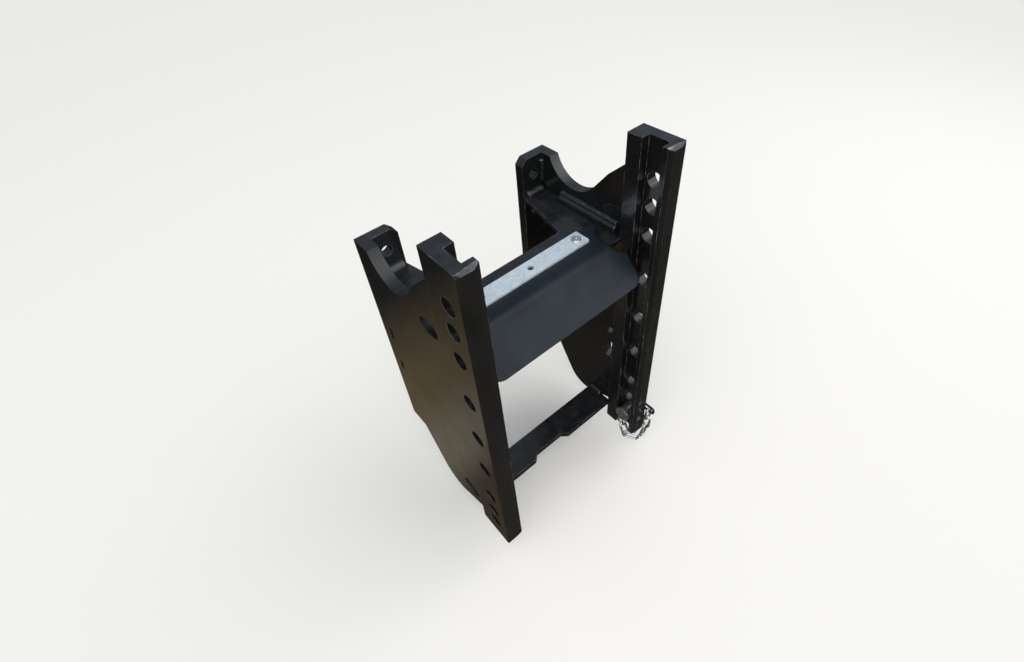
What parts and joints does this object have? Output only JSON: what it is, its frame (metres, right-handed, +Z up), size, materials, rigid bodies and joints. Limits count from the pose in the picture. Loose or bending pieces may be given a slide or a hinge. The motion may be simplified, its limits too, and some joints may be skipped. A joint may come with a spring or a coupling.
{
  "type": "tractor hitch mounting frame",
  "caption": "Bolt-on hitch frame with two grooved guide rails, side plates, a shelf with a rubber flap, a lower cross bar and a chained stop pin.",
  "frame": {"origin": "centre of the rear flanges' bolt holes, on the flanges' mounting plane", "axes": "+X to the right across the frame, +Y out of the flanges towards the tractor, +Z up along the rails"},
  "size_m": [0.3495, 0.2878, 0.6377],
  "materials": {
    "black_paint": "gloss",
    "painted_weld": "gloss",
    "flap_rubber": "satin",
    "galvanised": "satin",
    "zinc_plated": "bright"
  },
  "bodies": {
    "frame": {"left_guide_rail": "black_paint", "right_guide_rail": "black_paint", "left_side_plate": "black_paint", "right_side_plate": "black_paint", "left_rear_flange": "black_paint", "right_rear_flange": "black_paint", "cross_shelf": "black_paint", "lower_cross_bar": "black_paint", "shelf_side_welds": "painted_weld", "shelf_flange_welds": "painted_weld", "flange_plate_welds": "painted_weld", "rail_plate_welds": "painted_weld", "cross_bar_welds": "painted_weld", "slot_plug_welds": "painted_weld", "flap_clamped": "flap_rubber", "clamp_bar": "galvanised", "clamp_screws": "zinc_plated", "clamp_washers": "zinc_plated", "clamp_nuts": "zinc_plated", "chain_anchor": "zinc_plated"},
    "flap": {"flap_hanging": "flap_rubber"},
    "pin": {"stop_pin": "zinc_plated", "stop_pin_head": "zinc_plated", "stop_pin_eye": "zinc_plated"},
    "pin_chain_end": {"chain_link_1": "zinc_plated", "chain_link_2": "zinc_plated"},
    "chain_3": {"chain_link_3": "zinc_plated"},
    "chain_4": {"chain_link_4": "zinc_plated"},
    "chain_5": {"chain_link_5": "zinc_plated"}
  },
  "joints": [
    {"name": "flap_lift", "type": "hinge", "parent": "frame", "child": "flap", "pos_m": [0, -0.2053, 0.1445], "axis": [-1, 0, 0], "range_deg": [-10, 50], "stiffness_Nm_per_rad": 1.5},
    {"name": "stop_pin_slide", "type": "slide", "parent": "frame", "child": "pin", "axis": [-1, 0, 0], "range_m": [0, 0.034]},
    {"name": "pin_link_swing", "type": "hinge", "parent": "pin", "child": "pin_chain_end", "pos_m": [0.13895, -0.2385, -0.2907], "axis": [1, 0, 0], "range_deg": [0, 26]},
    {"name": "link_5_swing", "type": "hinge", "parent": "frame", "child": "chain_5", "pos_m": [0.169, -0.275, -0.2455], "axis": [0, -1, 0], "range_deg": [0, 28]},
    {"name": "link_4_swing", "type": "hinge", "parent": "chain_5", "child": "chain_4", "pos_m": [0.1686, -0.275, -0.26555], "axis": [0, -1, 0], "range_deg": [0, 28]},
    {"name": "link_3_swing", "type": "hinge", "parent": "chain_4", "child": "chain_3", "pos_m": [0.16711, -0.275, -0.29531], "axis": [0, -1, 0], "range_deg": [0, 28]}
  ]
}
